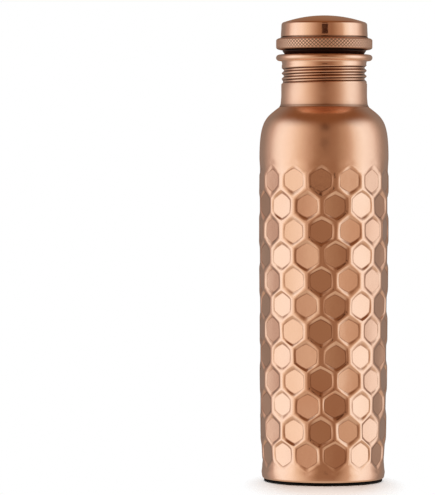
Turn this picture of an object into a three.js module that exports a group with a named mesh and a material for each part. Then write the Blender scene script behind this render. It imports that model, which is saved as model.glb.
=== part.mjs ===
// A beaten copper water bottle with a screw lid. Millimetres, +Z up. The bottle stands on z = 0, with
// its axis on the z axis, and its front faces -Y. Each sub-part is one named mesh.
import * as THREE from "three";

// Driving dimensions
const GAP = 0.35; // clearance between pieces that touch
const SHEET = 0.6; // sheet of the neck and the lid
const WALL = 0.75; // wall of the body
const SIDES = 28; // facets round the body, the neck and the plug: two to each beaten cell
const LID_SIDES = 56; // facets round the lid's collar

const FOOT = { radius: 34.6, height: 1.2 };
// Radius over the body's ridges at each height: it narrows slightly towards the foot.
const TAPER = [
  [5, 36], [14, 36.1], [28, 36.8], [60, 37.2], [95, 37.3], [115, 37.6], [140, 37.85], [189, 37.65],
];
const SHOULDER = { bottom: 189, rim: 24.4, top: 219.6 };

const CELLS = { around: 14, rows: 12, pitch: 14.42, first: 16.95, facet: 0.68, drop: 0.95, turn: -94 };

const NECK = { foot: 218.8, radius: 25, lipRadius: 26.35, lipHeight: 246.85, bead: 1.75 };
// A rolled thread: a groove pressed into the neck, climbing to the right as seen from outside.
const THREAD = { pitch: 3.25, crest: 24.7, depth: 1.3, gap: 0.5, frontRoot: 233.85 };
const GROOVE = { start: -0.33, turns: 2.75, fade: 0.12 }; // along the thread, in turns from the front
const THREAD_ROWS = { bottom: 232.2, top: 242.6, perPitch: 5 };

const PLUG = { floor: 231, neck: 21.6, relief: 243.6, flange: 251.45, spigot: 24, top: 262 };
const SEAL = { bottom: 245.6, lip: 24.1, waist: 23.1, top: 251.1, inner: 21.95 };
const COLLAR = { bottom: 251.45, top: 258.95, lip: 25.5 };
const KNURL = { bottom: 252.4, top: 257.6, radius: 28.05, root: 27.5, rows: 4 };
const CROWN = { bottom: 259.3, radius: 25.1, wallTop: 265.8, domeRim: 267.8, apex: 271.8 };

const COPPER = { color: 0xc58a63, metalness: 1, roughness: 0.22 };
const material = {
  beaten: new THREE.MeshStandardMaterial({ ...COPPER, roughness: 0.16, flatShading: true }),
  spun: new THREE.MeshStandardMaterial({ ...COPPER, roughness: 0.32 }),
  polished: new THREE.MeshStandardMaterial({ ...COPPER, roughness: 0.12 }),
  silicone: new THREE.MeshStandardMaterial({ color: 0x17120f, metalness: 0, roughness: 0.55 }),
};

const radians = THREE.MathUtils.degToRad;

// ---- Helpers ----

// A table of [height, value] pairs, read between its points in straight lines.
function readTable(table, z) {
  const upper = Math.max(1, table.findIndex(([height]) => height >= z));
  const [z0, v0] = table[upper - 1];
  const [z1, v1] = table[upper];
  return THREE.MathUtils.mapLinear(THREE.MathUtils.clamp(z, z0, z1), z0, z1, v0, v1);
}

// The profile [radius, height] moved sideways by distance, towards the axis on a profile that climbs. A
// point on the axis stays on it.
function offsetProfile(points, distance) {
  return points.map(([r, z], i) => {
    const [r0, z0] = points[Math.max(0, i - 1)];
    const [r1, z1] = points[Math.min(points.length - 1, i + 1)];
    const length = Math.hypot(r1 - r0, z1 - z0);
    const across = r === 0 ? 0 : (distance * (z1 - z0)) / length;
    return [r - across, z + (distance * (r1 - r0)) / length];
  });
}

// Points along a curve as [radius, height] pairs.
const along = (curve, steps) => curve.getPoints(steps).map((p) => [p.x, p.y]);

const arc = (r, z, radius, from, to, steps) =>
  along(new THREE.EllipseCurve(r, z, radius, radius, radians(from), radians(to), to < from), steps);

// A solid of revolution from a profile that goes anticlockwise, with the radius to the right.
function lathe(name, profile, sides, look) {
  const points = profile.map(([r, z]) => new THREE.Vector2(r, z));
  const geometry = new THREE.LatheGeometry(points, sides);
  geometry.rotateX(Math.PI / 2);
  const mesh = new THREE.Mesh(geometry, look);
  mesh.name = name;
  return mesh;
}

const close = (profile) => [...profile, profile[0]];

// Builds one closed skin from rings of points. Each ring is a list of vertex numbers.
class Skin {
  constructor() {
    this.positions = [];
    this.index = [];
  }

  vertex(r, angle, z) {
    this.positions.push(r * Math.cos(angle), r * Math.sin(angle), z);
    return this.positions.length / 3 - 1;
  }

  // radiusAt gives a ring's radius for an angle, and heightAt may give each vertex its own height.
  ring(sides, turn, z, radiusAt, heightAt = () => z) {
    return Array.from({ length: sides }, (_, k) => {
      const angle = turn + (k * 2 * Math.PI) / sides;
      return this.vertex(radiusAt(angle, k), angle, heightAt(k));
    });
  }

  fan(corners) {
    for (let i = 2; i < corners.length; i += 1) {
      this.index.push(corners[0], corners[i - 1], corners[i]);
    }
  }

  // Joins two rings in squares. The second ring is the next one when going up outside and down inside.
  band(a, b) {
    a.forEach((_, k) => {
      const next = (k + 1) % a.length;
      this.fan([a[k], a[next], b[next], b[k]]);
    });
  }

  mesh(name, look) {
    const geometry = new THREE.BufferGeometry();
    geometry.setAttribute("position", new THREE.Float32BufferAttribute(this.positions, 3));
    geometry.setIndex(this.index);
    geometry.computeVertexNormals();
    const mesh = new THREE.Mesh(geometry, look);
    mesh.name = name;
    return mesh;
  }
}

// A mesh whose rings follow each other round the section and close on the first.
function ringMesh(name, look, sides, sections) {
  const skin = new Skin();
  const rings = sections.map(({ z, radiusAt }) => skin.ring(sides, 0, z, radiusAt));
  rings.forEach((ring, i) => skin.band(ring, rings[(i + 1) % rings.length]));
  return skin.mesh(name, look);
}

const round = ([r, z]) => ({ z, radiusAt: () => r });

// ---- Body: a beaten wall of six-sided cells under a smooth spun shoulder ----

function shoulderProfile() {
  const curve = new THREE.CubicBezierCurve(
    new THREE.Vector2(readTable(TAPER, SHOULDER.bottom), SHOULDER.bottom),
    new THREE.Vector2(37.65, 212),
    new THREE.Vector2(33.5, 212.3),
    new THREE.Vector2(SHOULDER.rim, SHOULDER.top),
  );
  return along(curve, 10);
}

// The ridge line between two rows of cells: a zigzag with a tip every other vertex.
function ridgeLine(skin, line, inset) {
  const tip = (CELLS.pitch * 2) / 3;
  const middle = CELLS.first + (line - 0.5) * CELLS.pitch;
  const heightAt = (k) => middle + (((k + line) % 2 ? -1 : 1) * tip) / 4;
  const radiusAt = (_, k) => readTable(TAPER, heightAt(k)) - inset;
  const ring = skin.ring(SIDES, radians(CELLS.turn), middle, radiusAt, heightAt);
  return { ring, heightAt };
}

// One outside cell: a flat facet below the ridges, and a bevel up to the six ridge corners.
function beatenCell(skin, corners, k, row) {
  const step = (2 * Math.PI) / SIDES;
  const centre = CELLS.first + row * CELLS.pitch;
  const facet = corners.map(([column, z]) => {
    const across = CELLS.facet * (column - k) * step;
    const height = centre + CELLS.facet * (z - centre);
    const radius = (readTable(TAPER, height) - CELLS.drop) / Math.cos(across);
    return skin.vertex(radius, radians(CELLS.turn) + k * step + across, height);
  });
  skin.fan(facet);
  corners.forEach(([, , vertex], i) => {
    const next = (i + 1) % 6;
    skin.fan([vertex, corners[next][2], facet[next], facet[i]]);
  });
}

// The six corners [column, height, vertex] of the cell at column k between two ridge lines.
function cellCorners(lower, upper, k) {
  const wrapped = (c) => (c + SIDES) % SIDES;
  const column = (line) => (c) => [c, line.heightAt(wrapped(c)), line.ring[wrapped(c)]];
  return [...[k - 1, k, k + 1].map(column(lower)), ...[k + 1, k, k - 1].map(column(upper))];
}

function bodyShell() {
  const skin = new Skin();
  const turn = radians(CELLS.turn);
  const ringOf = ([r, z]) => skin.ring(SIDES, turn, z, () => r);
  const flange = FOOT.height + GAP;
  const lines = (inset) =>
    Array.from({ length: CELLS.rows + 1 }, (_, line) => ridgeLine(skin, line, inset));
  const outer = lines(0);
  const inner = lines(WALL);
  const firstCell = (row) => (row + 1) % 2;
  for (let row = 0; row < CELLS.rows; row += 1) {
    for (let k = firstCell(row); k < SIDES; k += 2) {
      beatenCell(skin, cellCorners(outer[row], outer[row + 1], k), k, row);
      const corners = cellCorners(inner[row], inner[row + 1], k);
      const [a, b, c, d, e, f] = corners.map(([, , vertex]) => vertex);
      skin.fan([a, f, d, c]);
      skin.fan([a, c, b]);
      skin.fan([f, e, d]);
    }
  }
  const shoulder = shoulderProfile();
  const base = [[31.5, flange], [34.4, flange], [35.5, flange + 1.2], [36, 5]];
  const curl = [[35.2, 5.4], [34.8, flange + 1.6], [33.9, flange + WALL], [31.5, flange + WALL]];
  const rings = [
    ...base.map(ringOf),
    outer[0].ring,
    outer[CELLS.rows].ring,
    ...shoulder.map(ringOf),
    ...offsetProfile(shoulder, WALL).reverse().map(ringOf),
    inner[CELLS.rows].ring,
    inner[0].ring,
    ...curl.map(ringOf),
  ];
  rings.forEach((ring, i) => {
    const next = rings[(i + 1) % rings.length];
    const beaten = ring === outer[0].ring || ring === inner[CELLS.rows].ring;
    if (!beaten) skin.band(ring, next);
  });
  return skin.mesh("body_shell", material.beaten);
}

// ---- Neck, with its rolled thread and curled lip ----

// How deep the thread's groove is at an angle and height, from 0 to 1. It fades out over part of a turn.
function groove(angle, z, start, end) {
  const turn = (angle - radians(270)) / (2 * Math.PI);
  const climb = (z - THREAD.frontRoot) / THREAD.pitch - turn;
  const place = turn + Math.round(climb);
  const ends = Math.min((place - start) / GROOVE.fade, (end - place) / GROOVE.fade);
  return THREE.MathUtils.clamp(ends, 0, 1) * (0.5 + 0.5 * Math.cos(2 * Math.PI * climb));
}

function threadSections(radius, start, end) {
  const { bottom, top, perPitch } = THREAD_ROWS;
  const rows = Math.round(((top - bottom) / THREAD.pitch) * perPitch);
  return Array.from({ length: rows + 1 }, (_, i) => {
    const z = bottom + ((top - bottom) * i) / rows;
    return { z, radiusAt: (angle) => radius - THREAD.depth * groove(angle, z, start, end) };
  });
}

function neckMouth() {
  const end = GROOVE.start + GROOVE.turns;
  const { radius, foot } = NECK;
  const lip = arc(NECK.lipRadius, NECK.lipHeight, NECK.bead, -125, 180, 9);
  const base = [[radius + 0.95, foot], [radius + 0.35, foot + 2.5], [radius, foot + 5]];
  const flare = [[24.5, 243.2], [24.7, 244], [25.2, 245.1]];
  const bore = [[24.2, 244.9], [24, 243.2]];
  const inside = [[radius - SHEET, 230.8], [radius - SHEET, foot + 5], [radius + 0.35, foot + 0.5]];
  return ringMesh("neck_mouth", material.polished, SIDES, [
    ...base.map(round),
    round([radius, 231]),
    ...threadSections(THREAD.crest, GROOVE.start, end),
    ...flare.map(round),
    ...lip.map(round),
    ...bore.map(round),
    ...threadSections(THREAD.crest - SHEET, GROOVE.start, end).reverse(),
    ...inside.map(round),
  ]);
}

// ---- Base ----

function baseDisc() {
  const z = FOOT.height + GAP + WALL + GAP;
  const underside = [[0, z + 2.4], [16, z + 2], [26, z + 0.6], [29, z]];
  const rim = [[33.3, z], [33.3, z + WALL]];
  const topside = offsetProfile(underside, WALL).reverse();
  return lathe("base_disc", [...underside, ...rim, ...topside], SIDES, material.spun);
}

function footPad() {
  const { radius, height } = FOOT;
  const edge = [[radius - 0.5, 0], [radius, 0.5], [radius, height - 0.3], [radius - 0.3, height]];
  return lathe("foot_pad", [[0, 0], ...edge, [0, height]], LID_SIDES, material.silicone);
}

// ---- Lid: a hollow threaded plug, a seal, a knurled collar and a domed crown ----

function lidPlug() {
  const crest = THREAD.crest - SHEET - THREAD.gap;
  const root = crest - THREAD.depth;
  const inner = PLUG.neck - SHEET;
  const start = GROOVE.start - 1;
  const end = GROOVE.start + GROOVE.turns + GROOVE.fade;
  const skin = new Skin();
  const { flange, floor, neck, relief, spigot, top } = PLUG;
  const sections = [
    round([root - 0.6, floor]),
    ...threadSections(crest, start, end),
    round([crest, relief - 0.5]),
    ...[[neck, relief], [neck, flange], [spigot, flange], [spigot, top]].map(round),
    ...[[spigot - SHEET, top], [spigot - SHEET, flange + SHEET]].map(round),
    ...[[inner, flange + SHEET], [inner, floor + SHEET]].map(round),
  ];
  const rings = sections.map(({ z, radiusAt }) => skin.ring(SIDES, 0, z, radiusAt));
  rings.slice(1).forEach((ring, i) => skin.band(rings[i], ring));
  skin.fan([...rings[0]].reverse());
  skin.fan(rings.at(-1));
  return skin.mesh("lid_threaded_plug", material.polished);
}

function sealRing() {
  const { bottom, inner, lip, top, waist } = SEAL;
  const bead = [[lip - 0.3, bottom], [lip, bottom + 0.7], [lip - 0.3, bottom + 1.4]];
  const section = [[inner, bottom], ...bead, [waist, 248.9], [lip, top], [inner, top]];
  return lathe("seal_ring", close(section), LID_SIDES, material.silicone);
}

// The collar's band has a diamond knurl: its vertices stand out and in by turns, like a chessboard.
function knurledCollar() {
  const { bottom, lip, top } = COLLAR;
  const wall = 1.2;
  const inner = lip - wall;
  const knurl = Array.from({ length: KNURL.rows + 1 }, (_, row) => ({
    z: KNURL.bottom + ((KNURL.top - KNURL.bottom) * row) / KNURL.rows,
    radiusAt: (angle, k) => ((k + row) % 2 ? KNURL.radius : KNURL.root),
  }));
  return ringMesh("lid_knurled_collar", material.polished, LID_SIDES, [
    ...[[lip, bottom], [lip + 1.1, bottom + 0.1]].map(round),
    ...knurl,
    ...[[lip + 1.1, 258.4], [lip, 258.6], [lip, top]].map(round),
    ...[[inner, top], [inner, 258]].map(round),
    ...[[KNURL.root - wall, 256.9], [KNURL.root - wall, 252.9], [inner, bottom]].map(round),
  ]);
}

function lidCrown() {
  const { apex, bottom, domeRim, radius, wallTop } = CROWN;
  const corner = new THREE.QuadraticBezierCurve(
    new THREE.Vector2(radius - 0.15, wallTop),
    new THREE.Vector2(radius - 0.25, domeRim - 0.3),
    new THREE.Vector2(radius - 1.6, domeRim),
  );
  const rim = radius - 1.6;
  const rise = apex - domeRim;
  const sphere = (rim * rim + rise * rise) / (2 * rise);
  const dome = [0.75, 0.5, 0.25, 0].map((share) => {
    const r = share * rim;
    return [r, apex - sphere + Math.sqrt(sphere * sphere - r * r)];
  });
  const outside = [...along(corner, 3), ...dome];
  const inside = offsetProfile(outside, SHEET).reverse().slice(0, -1);
  const rimInside = [radius - SHEET, bottom];
  const profile = close([[radius, bottom], ...outside, ...inside, rimInside]);
  return lathe("lid_crown", profile, LID_SIDES, material.polished);
}

const bottle = new THREE.Group();
bottle.add(footPad(), baseDisc(), bodyShell(), neckMouth());
const lid = new THREE.Group();
lid.add(lidPlug(), sealRing(), knurledCollar(), lidCrown());
bottle.add(lid);

export default bottle;
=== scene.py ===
"""A beaten copper water bottle with a screw lid, on a white floor.

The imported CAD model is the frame: its bodies, joints and sizes. The pieces here stand for its nodes and carry
the looks. Lengths are in millimetres until a mesh is made, and MM turns them into metres.
"""

import math
import random

import bmesh
import bpy
import numpy as np
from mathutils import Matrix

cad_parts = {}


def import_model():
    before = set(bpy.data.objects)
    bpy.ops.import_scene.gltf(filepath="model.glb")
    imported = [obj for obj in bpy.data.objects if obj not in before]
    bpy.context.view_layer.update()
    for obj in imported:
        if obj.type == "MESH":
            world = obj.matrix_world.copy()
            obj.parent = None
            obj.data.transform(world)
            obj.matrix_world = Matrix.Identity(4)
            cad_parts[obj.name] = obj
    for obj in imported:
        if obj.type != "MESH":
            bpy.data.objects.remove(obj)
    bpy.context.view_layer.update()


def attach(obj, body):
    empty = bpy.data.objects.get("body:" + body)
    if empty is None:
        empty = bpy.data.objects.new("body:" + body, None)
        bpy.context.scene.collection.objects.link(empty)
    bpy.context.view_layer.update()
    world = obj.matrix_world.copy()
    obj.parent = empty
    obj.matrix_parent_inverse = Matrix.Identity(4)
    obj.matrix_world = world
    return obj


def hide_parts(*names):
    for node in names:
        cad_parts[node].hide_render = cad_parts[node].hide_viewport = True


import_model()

MM = 0.001
SEED = 11

# ---------------------------------------------------------------- sizes, in millimetres

# Steps round a turned piece. A point closer than ON_AXIS is on its axis.
SEGMENTS = 168
BASE_SEGMENTS = 120
ON_AXIS = 1e-6

# The wall's radius up the beaten part, the turned-in base below it, the wall's inside from the top down, and
# the four control points of the shoulder.
TAPER_HEIGHTS = (5, 14, 28, 60, 95, 115, 140, 165, 189)
TAPER_RADII = (36.0, 36.15, 36.75, 37.2, 37.35, 37.6, 37.8, 37.8, 37.65)
BASE_OUTLINE = ((31.5, 1.4), (34.4, 1.4), (35.6, 2.4), (36.0, 5.2))
BODY_INSIDE = ((35.0, 190), (34.6, 60), (33.8, 5.0), (31.5, 2.2))
SHOULDER_CURVE = ((37.65, 189), (37.65, 212.0), (33.5, 212.3), (24.4, 219.6))

CELLS_AROUND = 14
CELL_ROWS = 12
CELL_PITCH = 14.42
CELL_TIP = CELL_PITCH / 1.5
FIRST_ROW = 16.95
FIRST_CELL_TURN = math.radians(-94)
HALF_CELL = math.pi / CELLS_AROUND
SIDE_STEPS = 5
# The slope of a cell's side from its ridge to its facet: a narrow land, a steep bevel and a soft corner.
BEVEL_PLACES = (0, 0.1, 0.24, 0.7, 0.86, 1)
BEVEL_SLOPES = (0, 0.04, 0.7, 1.0, 1.0, 0)
BEVEL_RINGS = (0, 0.06, 0.12, 0.18, 0.24, 0.34, 0.46, 0.58, 0.7, 0.8, 0.88, 0.93, 0.965, 1.0)
FACET_RINGS = (0.93, 0.6, 0.25)
FACET_ROUNDNESS = 0.4
# The ranges in which facets differ: how deep they lie, how far they tilt, how much they are dished, how large
# they are beside their ridge, and how far off centre.
FACET_DROP = (0.92, 1.15)
TILT_ACROSS = 0.02
TILT_UP = 0.016
MOST_DISHED = 0.13
DISHED_AREA = 30
FACET_SIZE = (0.7, 0.78)
FACET_OFFSET = 0.45
# The top row is beaten less deeply: its values as parts of the other rows'.
TOP_DROP = 0.9
TOP_TILT = 0.5
TOP_DISH = 0.4
TOP_SIZE = 0.94
# Painted shade lies along the facet's edge: the higher the power, the narrower its line.
CREASE_POWER = 5
EDGE_SINK = 0.4
# Where the plain wall's rings lie between the zigzag of the cells, at 0, and a level ring, at 1.
LOW_SETTLING = (0.85, 0.7, 0.5, 0.3, 0.15, 0)
HIGH_SETTLING = (0, 0.1, 0.25, 0.4, 0.55, 0.7, 0.85)
# How far handwork moves a ridge's corners, in radians round and in millimetres up.
CORNER_TURN = 0.012
CORNER_RISE = 0.4

BASE_SHEET = 0.7

NECK_RADIUS = 25.0
NECK_WALL = 0.6
NECK_FOOT = 218.3
THREAD_PITCH = 3.25
THREAD_CREST = 24.75
THREAD_DEPTH = 1.25
FRONT_ROOT = 233.85
THREAD_BOTTOM = 232.2
THREAD_TOP = 242.6
GROOVE_START = -0.33
GROOVE_TURNS = 2.75
GROOVE_FADE = 0.12
GROOVE_END = GROOVE_START + GROOVE_TURNS
# Painted shade lies on the groove's sides: the higher the power, the narrower its line.
FLANK_POWER = 2.5
LIP_RADIUS = 26.3
LIP_HEIGHT = 246.95
LIP_BEAD = 1.8

# The lid's thread stands PLUG_GAP inside the neck's. The tube above the plug holds the collar and the crown.
PLUG_GAP = 0.5
PLUG_WALL = 0.6
PLUG_BOTTOM = 231.0
PLUG_RELIEF = 21.6
TUBE_RADIUS = 24.0
TUBE_TOP = 262.0
SEAL_BORE = 21.95
SEAL_BOTTOM = 245.6
SEAL_TOP = 251.1

COLLAR_BOTTOM = 251.46
COLLAR_BORE = 24.3
COLLAR_EDGE = 25.4
COLLAR_LIP = 25.5
COLLAR_LIP_FOOT = 258.4
COLLAR_TOP = 258.95
KNURL_RADIUS = 28.05
KNURL_DEPTH = 0.2
KNURL_MIDDLE = 254.95
KNURL_FLAT = 1.95
KNURL_EDGE = (2.5, 1.45)
KNURL_AROUND = 80
KNURL_PITCH = 2.0
KNURL_STEPS = 14
# Half the width of a groove's root and the width of its side, as parts of the pitch.
KNURL_ROOT = 0.07
KNURL_SIDE = 0.07
KNURL_INNERMOST = 26.5

CROWN_RADIUS = 25.1
CROWN_BOTTOM = 259.3
CROWN_APEX = 271.65
CROWN_WALL = 0.6
DOME_SPHERE = 72.0
DOME_RIM = 23.3

# ---------------------------------------------------------------- camera, in metres and degrees

CAMERA_PLACE = (-0.0621, -1.99, 0.1849)
CAMERA_TILT = 88.6
CAMERA_ROLL = -0.11
CAMERA_LENS = 248
SENSOR_WIDTH = 36


# ---------------------------------------------------------------- mesh helpers


def make_object(name, vertices, faces):
    """A smooth mesh object from vertices in millimetres."""
    mesh = bpy.data.meshes.new(name)
    mesh.from_pydata((np.asarray(vertices, dtype=float) * MM).tolist(), [], faces)
    mesh.validate()
    mesh.shade_smooth()
    piece = bpy.data.objects.new(name, mesh)
    bpy.context.scene.collection.objects.link(piece)
    return piece


def add_attribute(piece, name, values):
    """A number for each vertex, which the materials read."""
    layer = piece.data.attributes.new(name, "FLOAT", "POINT")
    layer.data.foreach_set("value", np.asarray(values, dtype=np.float32))


def band_faces(start_a, start_b, count):
    """Squares between two rings of vertices, the second being the next along the outside."""
    return [
        (start_a + k, start_a + (k + 1) % count, start_b + (k + 1) % count, start_b + k)
        for k in range(count)
    ]


def ring_of(radius, angles, heights):
    """Points [x, y, z] round the axis."""
    return np.column_stack((radius * np.cos(angles), radius * np.sin(angles), heights))


def level_ring(radius, height, angles):
    return ring_of(radius, angles, np.full(len(angles), height))


def revolve(name, profile, segments, displace=None):
    """A solid of revolution. The profile goes anticlockwise with the radius to the right, and closes on
    itself or starts and ends on the axis. displace(angles, radius, height) gives the radius at each angle."""
    angles = np.arange(segments) * 2 * math.pi / segments
    vertices, faces, starts = [], [], []
    for radius, height in profile:
        starts.append(len(vertices))
        if radius < ON_AXIS:
            vertices.append((0.0, 0.0, height))
            continue
        radii = radius if displace is None else displace(angles, radius, height)
        vertices.extend(level_ring(radii, height, angles).tolist())
    on_axis = [radius < ON_AXIS for radius, _ in profile]
    pairs = list(zip(range(len(profile)), range(1, len(profile))))
    if not any(on_axis):
        pairs.append((len(profile) - 1, 0))
    for a, b in pairs:
        if on_axis[a] and on_axis[b]:
            continue
        if on_axis[a]:
            ring = starts[b]
            faces.extend((starts[a], ring + (k + 1) % segments, ring + k) for k in range(segments))
        elif on_axis[b]:
            ring = starts[a]
            faces.extend((ring + k, ring + (k + 1) % segments, starts[b]) for k in range(segments))
        else:
            faces.extend(band_faces(starts[a], starts[b], segments))
    return make_object(name, vertices, faces)


def rounded(points, cut, steps=5):
    """The outline with each inner corner turned into a small curve, starting cut before the corner."""
    points = [np.array(p, dtype=float) for p in points]
    outline = [points[0]]
    for before, corner, after in zip(points, points[1:], points[2:]):
        towards, onwards = before - corner, after - corner
        reach = min(cut, 0.45 * np.linalg.norm(towards), 0.45 * np.linalg.norm(onwards))
        start = corner + towards / np.linalg.norm(towards) * reach
        end = corner + onwards / np.linalg.norm(onwards) * reach
        for t in np.linspace(0, 1, steps):
            outline.append((1 - t) ** 2 * start + 2 * t * (1 - t) * corner + t * t * end)
    outline.append(points[-1])
    return [tuple(p) for p in outline]


def circle_arc(radius, height, size, start, end, steps):
    """Points on a circle of the given size round (radius, height), between two angles in degrees."""
    angles = np.radians(np.linspace(start, end, steps))
    return [(radius + size * math.cos(a), height + size * math.sin(a)) for a in angles]


def bezier(p0, p1, p2, p3, steps):
    """Points on the cubic curve with these four control points."""
    t = np.linspace(0, 1, steps)[:, None]
    points = [np.array(p, dtype=float) for p in (p0, p1, p2, p3)]
    weights = ((1 - t) ** 3, 3 * t * (1 - t) ** 2, 3 * t * t * (1 - t), t**3)
    return [tuple(p) for p in sum(w * p for w, p in zip(weights, points))]


# ---------------------------------------------------------------- body


def wall_radius(heights):
    """The beaten wall's radius on its ridges, at one height or at each of several."""
    return np.interp(heights, TAPER_HEIGHTS, TAPER_RADII)


def bevel_height(t):
    """How much of the ridge is left at t across the bevel: 1 on the ridge, 0 on the facet."""
    across = np.linspace(0, 1, 201)
    slope = np.interp(across, BEVEL_PLACES, BEVEL_SLOPES)
    fallen = np.cumsum(slope) / slope.sum()
    return 1 - float(np.interp(t, across, fallen))


def ridge_corners(draw):
    """The corner points [angle, height] of the ridge lines, a little out of true as in hand work."""
    lines = []
    for line in range(CELL_ROWS + 1):
        middle = FIRST_ROW + (line - 0.5) * CELL_PITCH
        row = []
        for k in range(2 * CELLS_AROUND):
            side = -1 if (k + line) % 2 else 1
            angle = FIRST_CELL_TURN + k * HALF_CELL + draw.uniform(-1, 1) * CORNER_TURN
            height = middle + side * CELL_TIP / 4 + draw.uniform(-1, 1) * CORNER_RISE
            row.append((angle, height))
        lines.append(row)
    return lines


def corner_at(lines, line, k):
    """A ridge corner for any k. Past a full turn the angle keeps growing."""
    turns, index = divmod(k, 2 * CELLS_AROUND)
    angle, height = lines[line][index]
    return np.array((angle + turns * 2 * math.pi, height))


def side_points(start, end):
    return [start + (end - start) * i / SIDE_STEPS for i in range(SIDE_STEPS)]


def cell_outline(lines, row, k):
    """Points round one cell, on its ridges, anticlockwise from outside, as [angle, height]."""
    corners = [corner_at(lines, row, k + c) for c in (-1, 0, 1)]
    corners += [corner_at(lines, row + 1, k + c) for c in (1, 0, -1)]
    outline = []
    for start, end in zip(corners, corners[1:] + corners[:1]):
        outline.extend(side_points(start, end))
    return np.array(outline)


def sunk_ridge(row, count):
    """The first and last ridge lines lie a little low, so that their cells fade into the plain wall."""
    sunk = np.zeros(count)
    if row == 0:
        sunk[: 2 * SIDE_STEPS + 1] = EDGE_SINK
    if row == CELL_ROWS - 1:
        sunk[3 * SIDE_STEPS : 5 * SIDE_STEPS + 1] = EDGE_SINK
    return sunk


def facet_surface(draw, middle, top_row):
    """A function for the radius of one cell's tilted and slightly dished facet, at points [across, up] from
    the cell's middle."""
    mean_radius = wall_radius(middle)
    drop = draw.uniform(*FACET_DROP) * (TOP_DROP if top_row else 1)
    tilt_across = draw.gauss(0, TILT_ACROSS)
    tilt_up = draw.gauss(0, TILT_UP) * (TOP_TILT if top_row else 1)
    dish = draw.uniform(0, MOST_DISHED) * (TOP_DISH if top_row else 1)

    def radius_at(points):
        flat = mean_radius - drop + tilt_across * points[:, 0] + tilt_up * points[:, 1]
        flat = flat - dish * (1 - (points**2).sum(axis=1) / DISHED_AREA)
        flat = flat + (wall_radius(middle + points[:, 1]) - mean_radius)
        return flat / np.cos(points[:, 0] / mean_radius)

    return radius_at


def facet_outline(ridge, draw, top_row):
    """The facet's edge, as points [across, up], and its middle. It is smaller and rounder than the ridge."""
    size = draw.uniform(*FACET_SIZE) * (TOP_SIZE if top_row else 1)
    middle = np.array([draw.uniform(-FACET_OFFSET, FACET_OFFSET) for _ in range(2)])
    reach = np.hypot(ridge[:, 0], ridge[:, 1])
    rounding = 1 - FACET_ROUNDNESS + FACET_ROUNDNESS * reach.mean() / reach
    return ridge * size * rounding[:, None] + middle, middle


def cell_rings(lines, row, k, draw):
    """The rings of one cell from its ridges to its middle: points [x, y, z], and how creased each ring is."""
    outline = cell_outline(lines, row, k)
    centre = outline.mean(axis=0)
    mean_radius = wall_radius(centre[1])
    top_row = row == CELL_ROWS - 1
    ridge = (outline - centre) * (mean_radius, 1)
    ridge_radius = wall_radius(outline[:, 1]) - sunk_ridge(row, len(outline))
    facet, middle = facet_outline(ridge, draw, top_row)
    facet_radius = facet_surface(draw, centre[1], top_row)

    def wrapped(points, radius):
        return ring_of(radius, centre[0] + points[:, 0] / mean_radius, centre[1] + points[:, 1])

    rings, creases = [], []
    for t in BEVEL_RINGS:
        points = ridge * (1 - t) + facet * t
        left = bevel_height(t)
        rings.append(wrapped(points, ridge_radius * left + facet_radius(points) * (1 - left)))
        creases.append(t**CREASE_POWER)
    for share in FACET_RINGS:
        points = middle + (facet - middle) * share
        rings.append(wrapped(points, facet_radius(points)))
        creases.append(0.0)
    return rings, creases


class Skin:
    """Vertices in millimetres, faces, and two numbers for each vertex: how creased the metal is, which sets
    where painted shade lies, and its tone."""

    def __init__(self):
        self.vertices, self.faces, self.crease, self.tone = [], [], [], []

    def add(self, points, crease=0.0, tone=0.5):
        start = len(self.vertices)
        self.vertices.extend(np.asarray(points).tolist())
        self.crease.extend([crease] * len(points))
        self.tone.extend([tone] * len(points))
        return start

    def strip(self, rings, creases=None, tone=0.5):
        """Joins rings of the same count in order. Returns the first vertex of the last one."""
        creases = creases or [0.0] * len(rings)
        starts = [self.add(ring, crease, tone) for ring, crease in zip(rings, creases)]
        for a, b in zip(starts, starts[1:]):
            self.faces.extend(band_faces(a, b, len(rings[0])))
        return starts[-1]

    def piece(self, name):
        made = make_object(name, self.vertices, self.faces)
        add_attribute(made, "crease", self.crease)
        add_attribute(made, "tone", self.tone)
        weld(made)
        return made


def weld(piece):
    """Joins the vertices that two strips share, and turns every face outwards."""
    work = bmesh.new()
    work.from_mesh(piece.data)
    bmesh.ops.remove_doubles(work, verts=work.verts, dist=0.002 * MM)
    bmesh.ops.recalc_face_normals(work, faces=work.faces)
    work.to_mesh(piece.data)
    work.free()
    piece.data.shade_smooth()


def ridge_line(lines, line):
    points = []
    for k in range(2 * CELLS_AROUND):
        points.extend(side_points(corner_at(lines, line, k), corner_at(lines, line, k + 1)))
    return np.array(points)


def settled_rings(edge, height, angles, shares):
    """Rings that go from a zigzag ridge line, at share 0, to a level ring at height, at share 1."""
    made = []
    for share in shares:
        heights = edge[:, 1] * (1 - share) + height * share
        turned = edge[:, 0] * (1 - share) + angles * share
        sunk = EDGE_SINK * (1 - share * share * (3 - 2 * share))
        made.append(ring_of(wall_radius(heights) - sunk, turned, heights))
    return made


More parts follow.
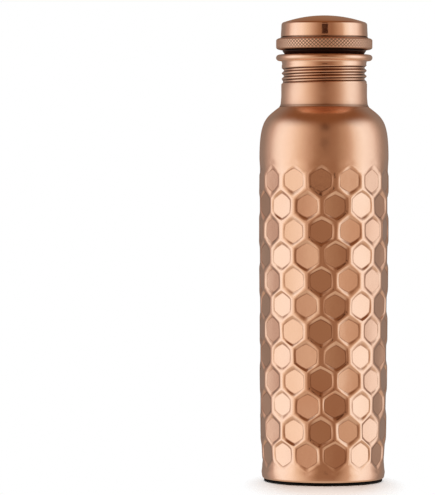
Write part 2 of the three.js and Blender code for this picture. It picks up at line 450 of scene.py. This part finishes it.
def beaten_body():
    """The beaten wall, the spun shoulder and the turned-in base, as one closed skin with a plain inside."""
    draw = random.Random(SEED)
    lines = ridge_corners(draw)
    skin = Skin()
    for row in range(CELL_ROWS):
        for k in range((row + 1) % 2, 2 * CELLS_AROUND, 2):
            rings, creases = cell_rings(lines, row, k, draw)
            last = skin.strip(rings, creases, draw.random())
            skin.faces.append(tuple(range(last, last + len(rings[0]))))

    count = 2 * CELLS_AROUND * SIDE_STEPS
    angles = FIRST_CELL_TURN + np.arange(count) * 2 * math.pi / count
    base = rounded(BASE_OUTLINE, 1.2, 7)
    shoulder = bezier(*SHOULDER_CURVE, 36)
    shoulder_inside = [(r - 1.1, z - 0.9) for r, z in shoulder[::-3]]
    low = [level_ring(r, z, angles) for r, z in base]
    low += settled_rings(ridge_line(lines, 0), base[-1][1], angles, LOW_SETTLING)
    high = settled_rings(ridge_line(lines, CELL_ROWS), SHOULDER_CURVE[0][1], angles, HIGH_SETTLING)
    inside = [*shoulder_inside, *BODY_INSIDE, base[0]]
    high += [level_ring(r, z, angles) for r, z in shoulder + inside]
    skin.strip(low)
    skin.strip(high)
    return skin.piece("beaten_body")


# ---------------------------------------------------------------- neck


def groove_depth(angles, height, start, end):
    """How deep the thread's groove is, from 0 to 1, at each angle of a ring. It fades out at its two ends."""
    turn = (angles - math.radians(270)) / (2 * math.pi)
    climb = (height - FRONT_ROOT) / THREAD_PITCH - turn
    place = turn + np.round(climb)
    ends = np.clip(np.minimum(place - start, end - place) / GROOVE_FADE, 0, 1)
    ends = ends * ends * (3 - 2 * ends)
    return ends * (0.5 + 0.5 * np.cos(2 * math.pi * climb))


def groove_flank_shade(angles, heights, start, end):
    """1 halfway down the groove's sides, where painted shade lies, and 0 on its crest and in its root."""
    inside = (heights > THREAD_BOTTOM) & (heights < THREAD_TOP)
    depth = groove_depth(angles, heights, start, end)
    return np.where(inside, (4 * depth * (1 - depth)) ** FLANK_POWER, 0)


def threaded(start, end, depth):
    """A displace function for revolve: a rolled groove between the thread's two heights."""

    def radius_of(angles, radius, height):
        if not THREAD_BOTTOM - 0.05 <= height <= THREAD_TOP + 0.05:
            return np.full(len(angles), radius)
        return radius - depth * groove_depth(angles, height, start, end)

    return radius_of


def around_and_up(piece):
    """Each vertex's angle and its height in millimetres."""
    places = np.empty(3 * len(piece.data.vertices))
    piece.data.vertices.foreach_get("co", places)
    x, y, z = places.reshape(-1, 3).T / MM
    return np.arctan2(y, x), z


def upright(radius, bottom, top, step):
    """An upright stretch of outline, as points about one step apart."""
    count = round(abs(top - bottom) / step)
    return [(radius, bottom + (top - bottom) * i / count) for i in range(count + 1)]


def threaded_neck():
    """The neck tube from its flared foot to its rolled lip, with painted shade in the thread and at the foot.
    """
    foot = [(NECK_RADIUS + 1.2, NECK_FOOT), (NECK_RADIUS + 0.45, NECK_FOOT + 1.3)]
    tube = [(NECK_RADIUS, NECK_FOOT + 5.6), (NECK_RADIUS, THREAD_BOTTOM - 0.6)]
    outside = rounded(foot + tube, 1.5, 6)
    thread = upright(THREAD_CREST, THREAD_BOTTOM, THREAD_TOP, 0.13)
    flare = bezier((24.55, 243.0), (24.5, 244.1), (24.8, 244.9), (25.25, 245.35), 7)
    lip = circle_arc(LIP_RADIUS, LIP_HEIGHT, LIP_BEAD, -118, 180, 26)
    bore = [(24.4, 245.3), (24.05, 243.4)]
    thread_inside = upright(THREAD_CREST - NECK_WALL, THREAD_TOP, THREAD_BOTTOM, 0.26)
    inner = NECK_RADIUS - NECK_WALL
    inside = [(inner, THREAD_BOTTOM - 0.8), (inner, NECK_FOOT + 4.1), (NECK_RADIUS, NECK_FOOT + 0.4)]
    profile = outside + thread + flare + lip + bore + thread_inside + inside
    piece = revolve("threaded_neck", profile, SEGMENTS, threaded(GROOVE_START, GROOVE_END, THREAD_DEPTH))
    angles, heights = around_and_up(piece)
    # Painted shade in the corner where the neck's foot meets the shoulder, and on the thread's flanks.
    corner = 0.5 * np.clip((NECK_FOOT + 2.3 - heights) / 1.6, 0, 1)
    flank_shade = groove_flank_shade(angles, heights, GROOVE_START, GROOVE_END)
    add_attribute(piece, "groove", np.maximum(flank_shade, corner))
    return piece


# ---------------------------------------------------------------- foot and base


def foot_pad():
    """The thin black disc that the bottle stands on."""
    outline = rounded([(0, 0), (34.5, 0), (34.6, 1.25), (31, 1.25), (0, 1.2)], 0.35, 6)
    return revolve("black_foot", outline, SEGMENTS)


def base_disc():
    """The domed disc that closes the body from below."""
    underside = bezier((0, 4.9), (20, 4.9), (22, 2.65), (33.3, 2.65), 20)
    topside = [(r, z + BASE_SHEET) for r, z in underside[::-1]]
    return revolve("domed_base", underside + topside, BASE_SEGMENTS)


# ---------------------------------------------------------------- lid


def lid_plug():
    """The hollow threaded plug, from its closed bottom past the seal's relief to the tube in the collar."""
    crest = THREAD_CREST - NECK_WALL - PLUG_GAP
    root = crest - THREAD_DEPTH
    bottom = rounded([(0, PLUG_BOTTOM), (root - 0.5, PLUG_BOTTOM), (root - 0.3, PLUG_BOTTOM + 0.95)], 0.7, 5)
    thread = upright(crest, THREAD_BOTTOM, THREAD_TOP, 0.16)
    relief = [(crest, 243.0), (crest, 243.4), (PLUG_RELIEF, 243.7), (PLUG_RELIEF, 251.4)]
    tube = [(TUBE_RADIUS, 251.45), (TUBE_RADIUS, TUBE_TOP)]
    tube_inside = [(TUBE_RADIUS - PLUG_WALL, TUBE_TOP), (TUBE_RADIUS - PLUG_WALL, 252.1)]
    plug_inside = [(PLUG_RELIEF - PLUG_WALL, 252.0), (PLUG_RELIEF - PLUG_WALL, PLUG_BOTTOM + 0.7)]
    upper = rounded([*relief, *tube, *tube_inside, *plug_inside, (0, PLUG_BOTTOM + 0.7)], 0.4, 4)
    groove = threaded(GROOVE_START - 1, GROOVE_END + GROOVE_FADE, THREAD_DEPTH)
    return revolve("lid_plug", bottom + thread + upper, SEGMENTS, groove)


def seal_ring():
    """The seal, with a groove round its middle and a wide top under the collar."""
    outside = [(23.8, SEAL_BOTTOM), (24.1, SEAL_BOTTOM + 0.7), (22.9, 248.7), (24.5, SEAL_TOP)]
    section = [(SEAL_BORE, SEAL_BOTTOM), *outside, (SEAL_BORE, SEAL_TOP), (SEAL_BORE, SEAL_BOTTOM)]
    return revolve("black_seal", rounded(section, 0.35, 5)[:-1], SEGMENTS)


def diamond(angles, height):
    """The height of the knurl, from 0 in its crossing helical grooves to 1 on the lands between them."""
    across = angles * KNURL_AROUND / (2 * math.pi)
    up = (height - KNURL_MIDDLE) / KNURL_PITCH
    groove = np.minimum(abs((across + up) % 1 - 0.5), abs((across - up) % 1 - 0.5))
    return np.clip((groove - KNURL_ROOT) / KNURL_SIDE, 0, 1)


def knurl_fade(height):
    """How far a height is into the band's rounded edge: 0 on its flat middle, 1 at its end and beyond."""
    return np.clip((abs(height - KNURL_MIDDLE) - KNURL_FLAT) / KNURL_EDGE[1], 0, 1)


def knurl_radius(angles, radius, height):
    """A displace function for revolve: the knurl is cut only into the collar's wide band."""
    if radius < KNURL_INNERMOST:
        return np.full(len(angles), radius)
    return radius - KNURL_DEPTH * (1 - diamond(angles, height)) * (1 - knurl_fade(height))


def knurled_band():
    """The outline of the collar's band: upright in the middle, with an elliptical edge above and below."""
    reach = KNURL_FLAT + KNURL_EDGE[1]
    band = []
    for radius, height in upright(KNURL_RADIUS, KNURL_MIDDLE - reach, KNURL_MIDDLE + reach, 0.13):
        edge = KNURL_EDGE[0] * (1 - math.sqrt(1 - knurl_fade(height) ** 2))
        band.append((radius - edge, height))
    return band


def knurled_collar():
    """A ring with a rounded, diamond-knurled band and a narrow lip above it. Painted shade lies in the knurl's
    grooves, along the band's low edge and over the lip.
    """
    low = [(COLLAR_EDGE, COLLAR_BOTTOM)]
    lip = [(COLLAR_EDGE, COLLAR_LIP_FOOT - 0.02), (COLLAR_LIP, COLLAR_LIP_FOOT + 0.1)]
    lip += [(COLLAR_LIP, COLLAR_TOP - 0.05), (COLLAR_EDGE, COLLAR_TOP)]
    relief = [(COLLAR_BORE, COLLAR_TOP), (COLLAR_BORE, 258.0), (26.2, 256.7), (26.2, 253.1)]
    profile = low + knurled_band() + lip + relief + [(COLLAR_BORE, COLLAR_BOTTOM)]
    piece = revolve("knurled_collar", profile, KNURL_STEPS * KNURL_AROUND, knurl_radius)
    angles, heights = around_and_up(piece)
    # Painted shade: the knurl's grooves, the collar's low edge, and everything above the lip's foot.
    grooves = (1 - diamond(angles, heights)) * (1 - knurl_fade(heights))
    low_edge_shade = 0.5 * np.clip((COLLAR_BOTTOM + 1.44 - heights) / 0.8, 0, 1)
    painted_shade = np.where(heights > COLLAR_LIP_FOOT, 1, np.maximum(grooves, low_edge_shade))
    add_attribute(piece, "groove", painted_shade)
    return piece


def dome_height(radius):
    return CROWN_APEX - DOME_SPHERE + math.sqrt(DOME_SPHERE**2 - radius**2)


def lid_crown():
    """A spun cap with a straight wall, a rounded shoulder and a shallow dome."""
    hem = [(CROWN_RADIUS - 0.5, CROWN_BOTTOM), (CROWN_RADIUS + 0.2, CROWN_BOTTOM)]
    wall = rounded([*hem, (CROWN_RADIUS + 0.15, CROWN_BOTTOM + 1)], 0.25) + [(CROWN_RADIUS - 0.08, 265.0)]
    upper_wall = ((CROWN_RADIUS - 0.11, 266.0), (CROWN_RADIUS - 0.2, 267.0), (CROWN_RADIUS - 0.7, 267.45))
    corner = bezier(*upper_wall, (DOME_RIM, dome_height(DOME_RIM)), 12)
    dome = [(DOME_RIM * share, dome_height(DOME_RIM * share)) for share in np.linspace(0.95, 0, 22)]
    inside = [(max(0.0, r - CROWN_WALL), z - CROWN_WALL) for r, z in dome[::-3] + corner[::-3]]
    inside[0] = (0, CROWN_APEX - CROWN_WALL)
    inside.append((CROWN_RADIUS - CROWN_WALL, CROWN_BOTTOM + 0.1))
    return revolve("domed_crown", inside + wall + corner + dome, SEGMENTS)


# ---------------------------------------------------------------- materials


class Look:
    """A node material built step by step round one Principled shader."""

    def __init__(self, name):
        self.material = bpy.data.materials.new(name)
        self.material.use_nodes = True
        self.nodes = self.material.node_tree.nodes
        self.links = self.material.node_tree.links
        self.shader = self.nodes["Principled BSDF"]
        self.place = self.nodes.new("ShaderNodeTexCoord").outputs["Object"]

    def link(self, source, target):
        self.links.new(source, target)

    def stretched(self, scale, shift=(0, 0, 0)):
        """The piece's own coordinates, scaled and shifted."""
        mapping = self.nodes.new("ShaderNodeMapping")
        mapping.inputs["Scale"].default_value = scale
        mapping.inputs["Location"].default_value = shift
        self.link(self.place, mapping.inputs["Vector"])
        return mapping.outputs["Vector"]

    def noise(self, scale, detail, stretch=None):
        node = self.nodes.new("ShaderNodeTexNoise")
        node.inputs["Scale"].default_value = scale
        node.inputs["Detail"].default_value = detail
        self.link(self.stretched(stretch) if stretch else self.place, node.inputs["Vector"])
        return node.outputs["Fac"]

    def height(self):
        """The height above the bottle's foot, in metres."""
        split = self.nodes.new("ShaderNodeSeparateXYZ")
        self.link(self.place, split.inputs["Vector"])
        return split.outputs["Z"]

    def attribute(self, name):
        """A number that the mesh carries at each vertex."""
        node = self.nodes.new("ShaderNodeAttribute")
        node.attribute_name = name
        return node.outputs["Fac"]

    def spread(self, value, low, high, to_low=0.0, to_high=1.0):
        """Maps low to to_low and high to to_high."""
        node = self.nodes.new("ShaderNodeMapRange")
        node.inputs["From Min"].default_value = low
        node.inputs["From Max"].default_value = high
        node.inputs["To Min"].default_value = to_low
        node.inputs["To Max"].default_value = to_high
        self.link(value, node.inputs["Value"])
        return node.outputs["Result"]

    def math(self, operation, first, second):
        node = self.nodes.new("ShaderNodeMath")
        node.operation = operation
        for socket, value in zip(node.inputs, (first, second)):
            if isinstance(value, (int, float)):
                socket.default_value = value
            else:
                self.link(value, socket)
        return node.outputs["Value"]

    def mix(self, factor, first, second):
        """The first colour at factor 0, the second at 1."""
        node = self.nodes.new("ShaderNodeMix")
        node.data_type = "RGBA"
        self.link(factor, node.inputs["Factor"])
        for socket, value in zip((node.inputs[6], node.inputs[7]), (first, second)):
            if isinstance(value, tuple):
                socket.default_value = (*value, 1)
            else:
                self.link(value, socket)
        return node.outputs[2]

    def bump(self, height, distance, normal=None):
        """Fine relief as deep as distance, in metres. A normal given is bumped further."""
        node = self.nodes.new("ShaderNodeBump")
        node.inputs["Strength"].default_value = 1.0
        node.inputs["Distance"].default_value = distance
        self.link(height, node.inputs["Height"])
        if normal is not None:
            self.link(normal, node.inputs["Normal"])
        return node.outputs["Normal"]

    def finish(self, color, roughness, normal=None):
        self.link(color, self.shader.inputs["Base Color"])
        self.link(roughness, self.shader.inputs["Roughness"])
        if normal is not None:
            self.link(normal, self.shader.inputs["Normal"])
        return self.material


BRIGHT_COPPER = (0.95, 0.62, 0.45)
DEEP_COPPER = (0.91, 0.55, 0.38)
# Painted shade: the dark colour laid along each facet's creased edge.
CREASE_SHADE_COLOR = (0.36, 0.15, 0.075)
# Painted shade: the near-black colour laid in grooves, on thread flanks and at corners and edges.
GROOVE_SHADE_COLOR = (0.05, 0.016, 0.008)
FOOT_BLACK = (0.005, 0.004, 0.004)
SEAL_BLACK = (0.032, 0.009, 0.005)
# Heights in metres. The body turns from polished to satin between the first two, and the neck is satin up to
# the third.
BODY_SATIN = (0.176, 0.190)
NECK_SATIN_TOP = 0.2318


def beaten_copper():
    """Polished facets, each a little different, painted shade along their edges, and a satin shoulder."""
    look = Look("beaten_copper")
    look.shader.inputs["Metallic"].default_value = 1.0
    cloud = look.spread(look.noise(38, 4), 0.35, 0.7)
    copper = look.mix(look.math("MULTIPLY", cloud, look.attribute("tone")), BRIGHT_COPPER, DEEP_COPPER)
    # Painted shade, patchy, along the creased edge of each facet.
    crease_shade = look.math("MULTIPLY", look.attribute("crease"), look.spread(look.noise(120, 5), 0.25, 0.65))
    color = look.mix(look.math("MULTIPLY", crease_shade, 0.9), copper, CREASE_SHADE_COLOR)
    satin = look.spread(look.height(), *BODY_SATIN)
    scuffs = look.spread(look.noise(420, 6), 0.4, 0.8, 0.0, 0.05)
    roughness = look.math("ADD", look.spread(satin, 0, 1, 0.1, 0.22), scuffs)
    dents = look.bump(look.noise(160, 3), 0.00006)
    grain = look.bump(look.noise(900, 3, (1, 1, 3)), 0.000012, dents)
    return look.finish(color, roughness, grain)


def turned_copper(name, roughness, satin_below=None):
    """Spun or turned copper: fine lines run round the axis and break up the shine. Below the height
    satin_below, in metres, it is satin."""
    look = Look(name)
    look.shader.inputs["Metallic"].default_value = 1.0
    clean = look.mix(look.spread(look.noise(45, 4), 0.35, 0.7), BRIGHT_COPPER, DEEP_COPPER)
    # Painted shade wherever the piece's groove number is set.
    color = look.mix(look.math("MULTIPLY", look.attribute("groove"), 0.95), clean, GROOVE_SHADE_COLOR)
    lines = look.noise(1, 5, (30, 30, 2600))
    worn = look.spread(look.noise(260, 5), 0.4, 0.8, 0.0, 0.06)
    uneven = look.math("ADD", look.spread(lines, 0.3, 0.7, roughness, roughness + 0.05), worn)
    if satin_below is not None:
        satin = look.spread(look.height(), satin_below, satin_below + 0.001, 0.2, 0)
        uneven = look.math("ADD", uneven, satin)
    return look.finish(color, uneven, look.bump(lines, 0.000012))


def domed_copper():
    """The lid's polished crown, with faint scuffs."""
    look = Look("crown_copper")
    look.shader.inputs["Metallic"].default_value = 1.0
    color = look.mix(look.spread(look.noise(50, 4), 0.35, 0.7), BRIGHT_COPPER, DEEP_COPPER)
    scuffs = look.spread(look.noise(500, 6), 0.4, 0.8, 0.0, 0.07)
    roughness = look.math("ADD", scuffs, 0.06)
    return look.finish(color, roughness, look.bump(look.noise(300, 4), 0.00002))


def black_silicone(name, color, roughness, shine):
    """Dull rubber with a little dust on it."""
    look = Look(name)
    dust = look.spread(look.noise(700, 6), 0.5, 0.85)
    look.shader.inputs["Specular IOR Level"].default_value = shine
    shade = look.mix(dust, color, tuple(c * 2.2 for c in color))
    uneven = look.spread(look.noise(300, 4), 0.3, 0.7, roughness - 0.06, roughness + 0.08)
    return look.finish(shade, uneven, look.bump(look.noise(1500, 3), 0.00002))


# ---------------------------------------------------------------- the bottle


def place(piece, body, slot, material, node):
    """Gives a piece its look, and tells the frame which body it rides on and which CAD node it replaces."""
    piece.data.materials.append(material)
    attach(piece, body)
    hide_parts(node)


def build_bottle():
    polished = turned_copper("polished_copper", 0.08)
    neck_copper = turned_copper("neck_copper", 0.08, satin_below=NECK_SATIN_TOP)
    knurl_copper = turned_copper("knurl_copper", 0.28)
    # The foot disc is near black all over; it fills the dark band along the base.
    foot_look = black_silicone("black_foot_look", FOOT_BLACK, 0.6, 0.1)
    seal_rubber = black_silicone("seal_silicone", SEAL_BLACK, 0.3, 0.35)
    place(beaten_body(), "bottle", "copper_beaten", beaten_copper(), "body_shell")
    place(threaded_neck(), "bottle", "copper_neck", neck_copper, "neck_mouth")
    place(foot_pad(), "bottle", "silicone", foot_look, "foot_pad")
    place(base_disc(), "bottle", "copper_spun", turned_copper("spun_copper", 0.3), "base_disc")
    place(lid_plug(), "lid", "copper_polished", polished, "lid_threaded_plug")
    place(seal_ring(), "seal", "silicone_seal", seal_rubber, "seal_ring")
    place(knurled_collar(), "lid", "copper_knurled", knurl_copper, "lid_knurled_collar")
    place(lid_crown(), "lid", "copper_polished", domed_copper(), "lid_crown")


# ---------------------------------------------------------------- floor, light and camera


# The floor's patch of painted shade and reflection round the foot: how far it reaches sideways and back, and
# its middle, in metres.
SHADE_PATCH = (0.047, 0.1, -0.03)
# Painted shade and reflection: the floor's two grey-beige tones, darker than a plain floor.
FLOOR_SHADE_TONES = ((0.70, 0.66, 0.63), (0.74, 0.70, 0.67))

TOP_LIGHT_SIZE = 1.1
TOP_LIGHT_HEIGHT = 2.34
TOP_LIGHT_RADIANCE = 14


def floor():
    """A pale grey-beige surface that shows only round the foot, where the bottle shades it, and fades out. Its
    colour is painted shade and reflection, on top of the real shade that the bottle casts.
    """
    bpy.ops.mesh.primitive_grid_add(x_subdivisions=8, y_subdivisions=8, size=1, location=(0, 0, 0))
    ground = bpy.context.object
    ground.name = "floor"
    look = Look("floor_painted_shade")
    look.shader.inputs["Specular IOR Level"].default_value = 0.0
    speckle = look.spread(look.noise(6, 2), 0.3, 0.7)
    # Painted shade and reflection in the floor's colour under the foot.
    shade_tone = look.mix(speckle, *FLOOR_SHADE_TONES)
    look.finish(shade_tone, look.spread(speckle, 0, 1, 0.6, 0.7))
    patch = look.nodes.new("ShaderNodeTexGradient")
    patch.gradient_type = "SPHERICAL"
    reach_x, reach_y, middle_y = SHADE_PATCH
    patch_place = look.stretched((1 / reach_x, 1 / reach_y, 1), (0, -middle_y / reach_y, 0))
    look.link(patch_place, patch.inputs["Vector"])
    look.link(look.spread(patch.outputs["Fac"], 0.0, 0.5), look.shader.inputs["Alpha"])
    ground.data.materials.append(look.material)
    ground.visible_glossy = False


def top_light():
    """A soft square light straight above the bottle, which shows in no reflection."""
    light = bpy.data.lights.new("top_light", "AREA")
    light.shape = "RECTANGLE"
    light.size = TOP_LIGHT_SIZE
    light.size_y = TOP_LIGHT_SIZE
    light.energy = TOP_LIGHT_RADIANCE * math.pi * TOP_LIGHT_SIZE**2
    lamp = bpy.data.objects.new("top_light", light)
    bpy.context.scene.collection.objects.link(lamp)
    lamp.location = (0, 0, TOP_LIGHT_HEIGHT)
    lamp.visible_camera = False
    lamp.visible_glossy = False


# The studio round the bottle, by angle from the front in degrees, growing to the right: warm dim cards in
# front, a bright wall at each side, and a dim room behind.
STUDIO = (
    (-180, (0.30, 0.17, 0.10)),
    (-155, (0.27, 0.24, 0.22)),
    (-135, (0.30, 0.27, 0.25)),
    (-113, (0.55, 0.46, 0.43)),
    (-100, (0.97, 0.96, 0.96)),
    (-86, (1.07, 1.15, 1.20)),
    (-66, (1.05, 1.05, 1.02)),
    (-48, (0.84, 0.74, 0.62)),
    (-30, (0.58, 0.43, 0.33)),
    (-20, (0.42, 0.28, 0.19)),
    (-12, (0.33, 0.20, 0.125)),
    (18, (0.32, 0.19, 0.12)),
    (25, (0.38, 0.25, 0.165)),
    (36, (0.52, 0.38, 0.28)),
    (47, (0.64, 0.50, 0.39)),
    (57, (0.95, 0.93, 0.87)),
    (73, (1.07, 1.17, 1.23)),
    (95, (0.97, 0.99, 1.01)),
    (108, (0.66, 0.60, 0.57)),
    (124, (0.34, 0.29, 0.26)),
    (155, (0.27, 0.24, 0.22)),
    (180, (0.30, 0.17, 0.10)),
)
CEILING = (0.22, 0.10, 0.045)
GROUND = (0.60, 0.50, 0.40)
# A narrow dark gap between the cards, straight in front and a little above level, with a break in its height.
GAP_COLOR = (0.05, 0.02, 0.012)
GAP_HALF_WIDTH = math.radians(7)
# Where each part is still 0 and where it is full, as the sine of the elevation.
LOW_GAP_START = (0.1, 0.11)
LOW_GAP_END = (0.2, 0.17)
HIGH_GAP_START = (0.3, 0.55)
CEILING_START = (0.42, 0.86)
GROUND_START = (-0.25, -0.8)


def world():
    """White to the camera. To everything else it is a studio that changes with the direction."""
    scene_world = bpy.data.worlds.new("studio")
    bpy.context.scene.world = scene_world
    scene_world.use_nodes = True
    nodes, links = scene_world.node_tree.nodes, scene_world.node_tree.links

    def math_node(operation, *values):
        node = nodes.new("ShaderNodeMath")
        node.operation = operation
        for socket, value in zip(node.inputs, values):
            if isinstance(value, (int, float)):
                socket.default_value = value
            else:
                links.new(value, socket)
        return node.outputs["Value"]

    def blended(factor, first, color):
        node = nodes.new("ShaderNodeMix")
        node.data_type = "RGBA"
        links.new(factor, node.inputs["Factor"])
        links.new(first, node.inputs[6])
        node.inputs[7].default_value = (*color, 1)
        return node.outputs[2]

    def faded(value, start, end):
        """0 at start, 1 at end, and smooth between them."""
        node = nodes.new("ShaderNodeMapRange")
        node.interpolation_type = "SMOOTHSTEP"
        node.inputs["From Min"].default_value = start
        node.inputs["From Max"].default_value = end
        links.new(value, node.inputs["Value"])
        return node.outputs["Result"]

    direction = nodes.new("ShaderNodeSeparateXYZ")
    links.new(nodes.new("ShaderNodeTexCoord").outputs["Generated"], direction.inputs["Vector"])
    x, y, z = (direction.outputs[axis] for axis in "XYZ")
    turn = math_node("ARCTAN2", x, math_node("MULTIPLY", y, -1))
    ramp = nodes.new("ShaderNodeValToRGB")
    links.new(math_node("MULTIPLY_ADD", turn, 0.5 / math.pi, 0.5), ramp.inputs["Fac"])
    stops = ramp.color_ramp.elements
    for degrees, color in STUDIO[1:-1]:
        stops.new((degrees + 180) / 360).color = (*color, 1)
    stops[0].color = (*STUDIO[0][1], 1)
    stops[-1].color = (*STUDIO[-1][1], 1)
    across = faded(math_node("ABSOLUTE", turn), GAP_HALF_WIDTH * 1.3, GAP_HALF_WIDTH)
    low_part = math_node("MULTIPLY", faded(z, *LOW_GAP_START), faded(z, *LOW_GAP_END))
    both_parts = math_node("ADD", low_part, faded(z, *HIGH_GAP_START))
    cards = blended(math_node("MULTIPLY", across, both_parts), ramp.outputs["Color"], GAP_COLOR)
    walls = blended(faded(z, *CEILING_START), cards, CEILING)
    room = blended(faded(z, *GROUND_START), walls, GROUND)
    links.new(room, nodes["Background"].inputs["Color"])

    backdrop = nodes.new("ShaderNodeBackground")
    backdrop.inputs["Color"].default_value = (1, 1, 1, 1)
    seen = nodes.new("ShaderNodeLightPath")
    chosen = nodes.new("ShaderNodeMixShader")
    links.new(seen.outputs["Is Camera Ray"], chosen.inputs["Fac"])
    links.new(nodes["Background"].outputs["Background"], chosen.inputs[1])
    links.new(backdrop.outputs["Background"], chosen.inputs[2])
    links.new(chosen.outputs["Shader"], nodes["World Output"].inputs["Surface"])


def camera():
    """A long lens in front of the bottle and a little above its middle, looking slightly down."""
    lens = bpy.data.cameras.new("camera")
    lens.lens = CAMERA_LENS
    lens.sensor_width = SENSOR_WIDTH
    viewer = bpy.data.objects.new("camera", lens)
    viewer.location = CAMERA_PLACE
    viewer.rotation_euler = (math.radians(CAMERA_TILT), math.radians(CAMERA_ROLL), 0)
    bpy.context.scene.collection.objects.link(viewer)
    bpy.context.scene.camera = viewer


def studio():
    floor()
    world()
    top_light()
    bpy.context.scene.view_settings.view_transform = "Standard"


camera()
build_bottle()
studio()
